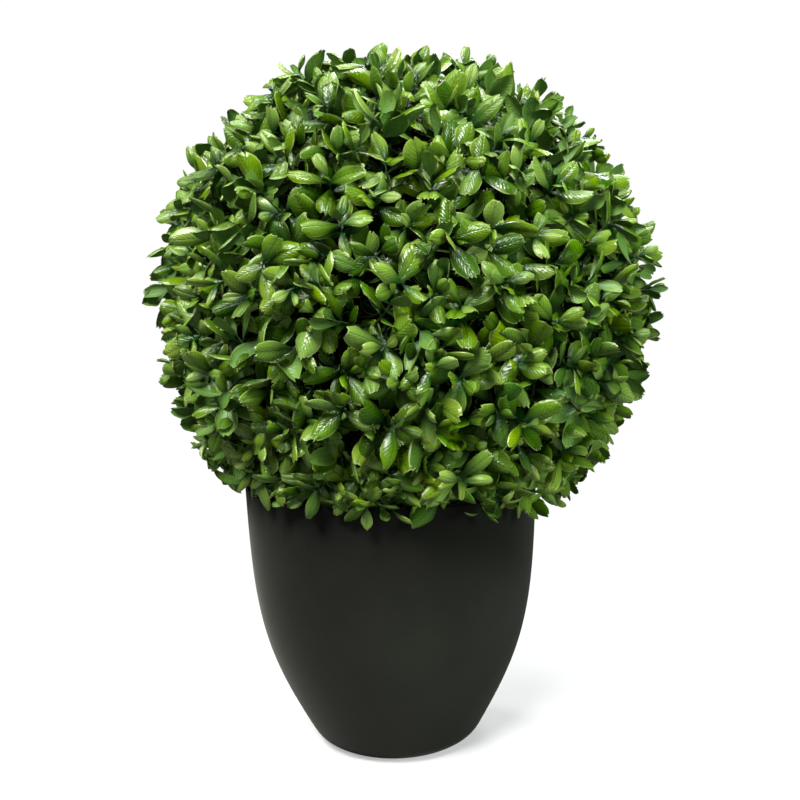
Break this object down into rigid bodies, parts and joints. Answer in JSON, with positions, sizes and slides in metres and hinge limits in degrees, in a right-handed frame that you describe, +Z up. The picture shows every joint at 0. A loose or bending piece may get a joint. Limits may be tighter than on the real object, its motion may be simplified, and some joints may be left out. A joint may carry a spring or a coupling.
{
  "type": "artificial box topiary ball in a pot",
  "caption": "Artificial clipped box ball of moulded green leaves on a short hidden stem, standing in a round tapered matt charcoal pot, as an ornament for a patio or a room.",
  "frame": {"origin": "centre of the pot's flat underside, on the pot's axis", "axes": "+Z up along the pot's axis; -Y towards the viewer; the ball of leaves stands 11 mm off the axis towards +X"},
  "size_m": [0.381, 0.3814, 0.5299],
  "materials": {
    "pot": "matt, finely grained charcoal",
    "pot_fill": "rough cast filler",
    "stem": "brown, ridged",
    "leaf_ball": "waxy moulded leaves in several greens"
  },
  "bodies": {
    "root": {"pot": "pot", "pot_fill": "pot_fill", "stem": "stem", "leaf_ball": "leaf_ball"}
  },
  "joints": []
}
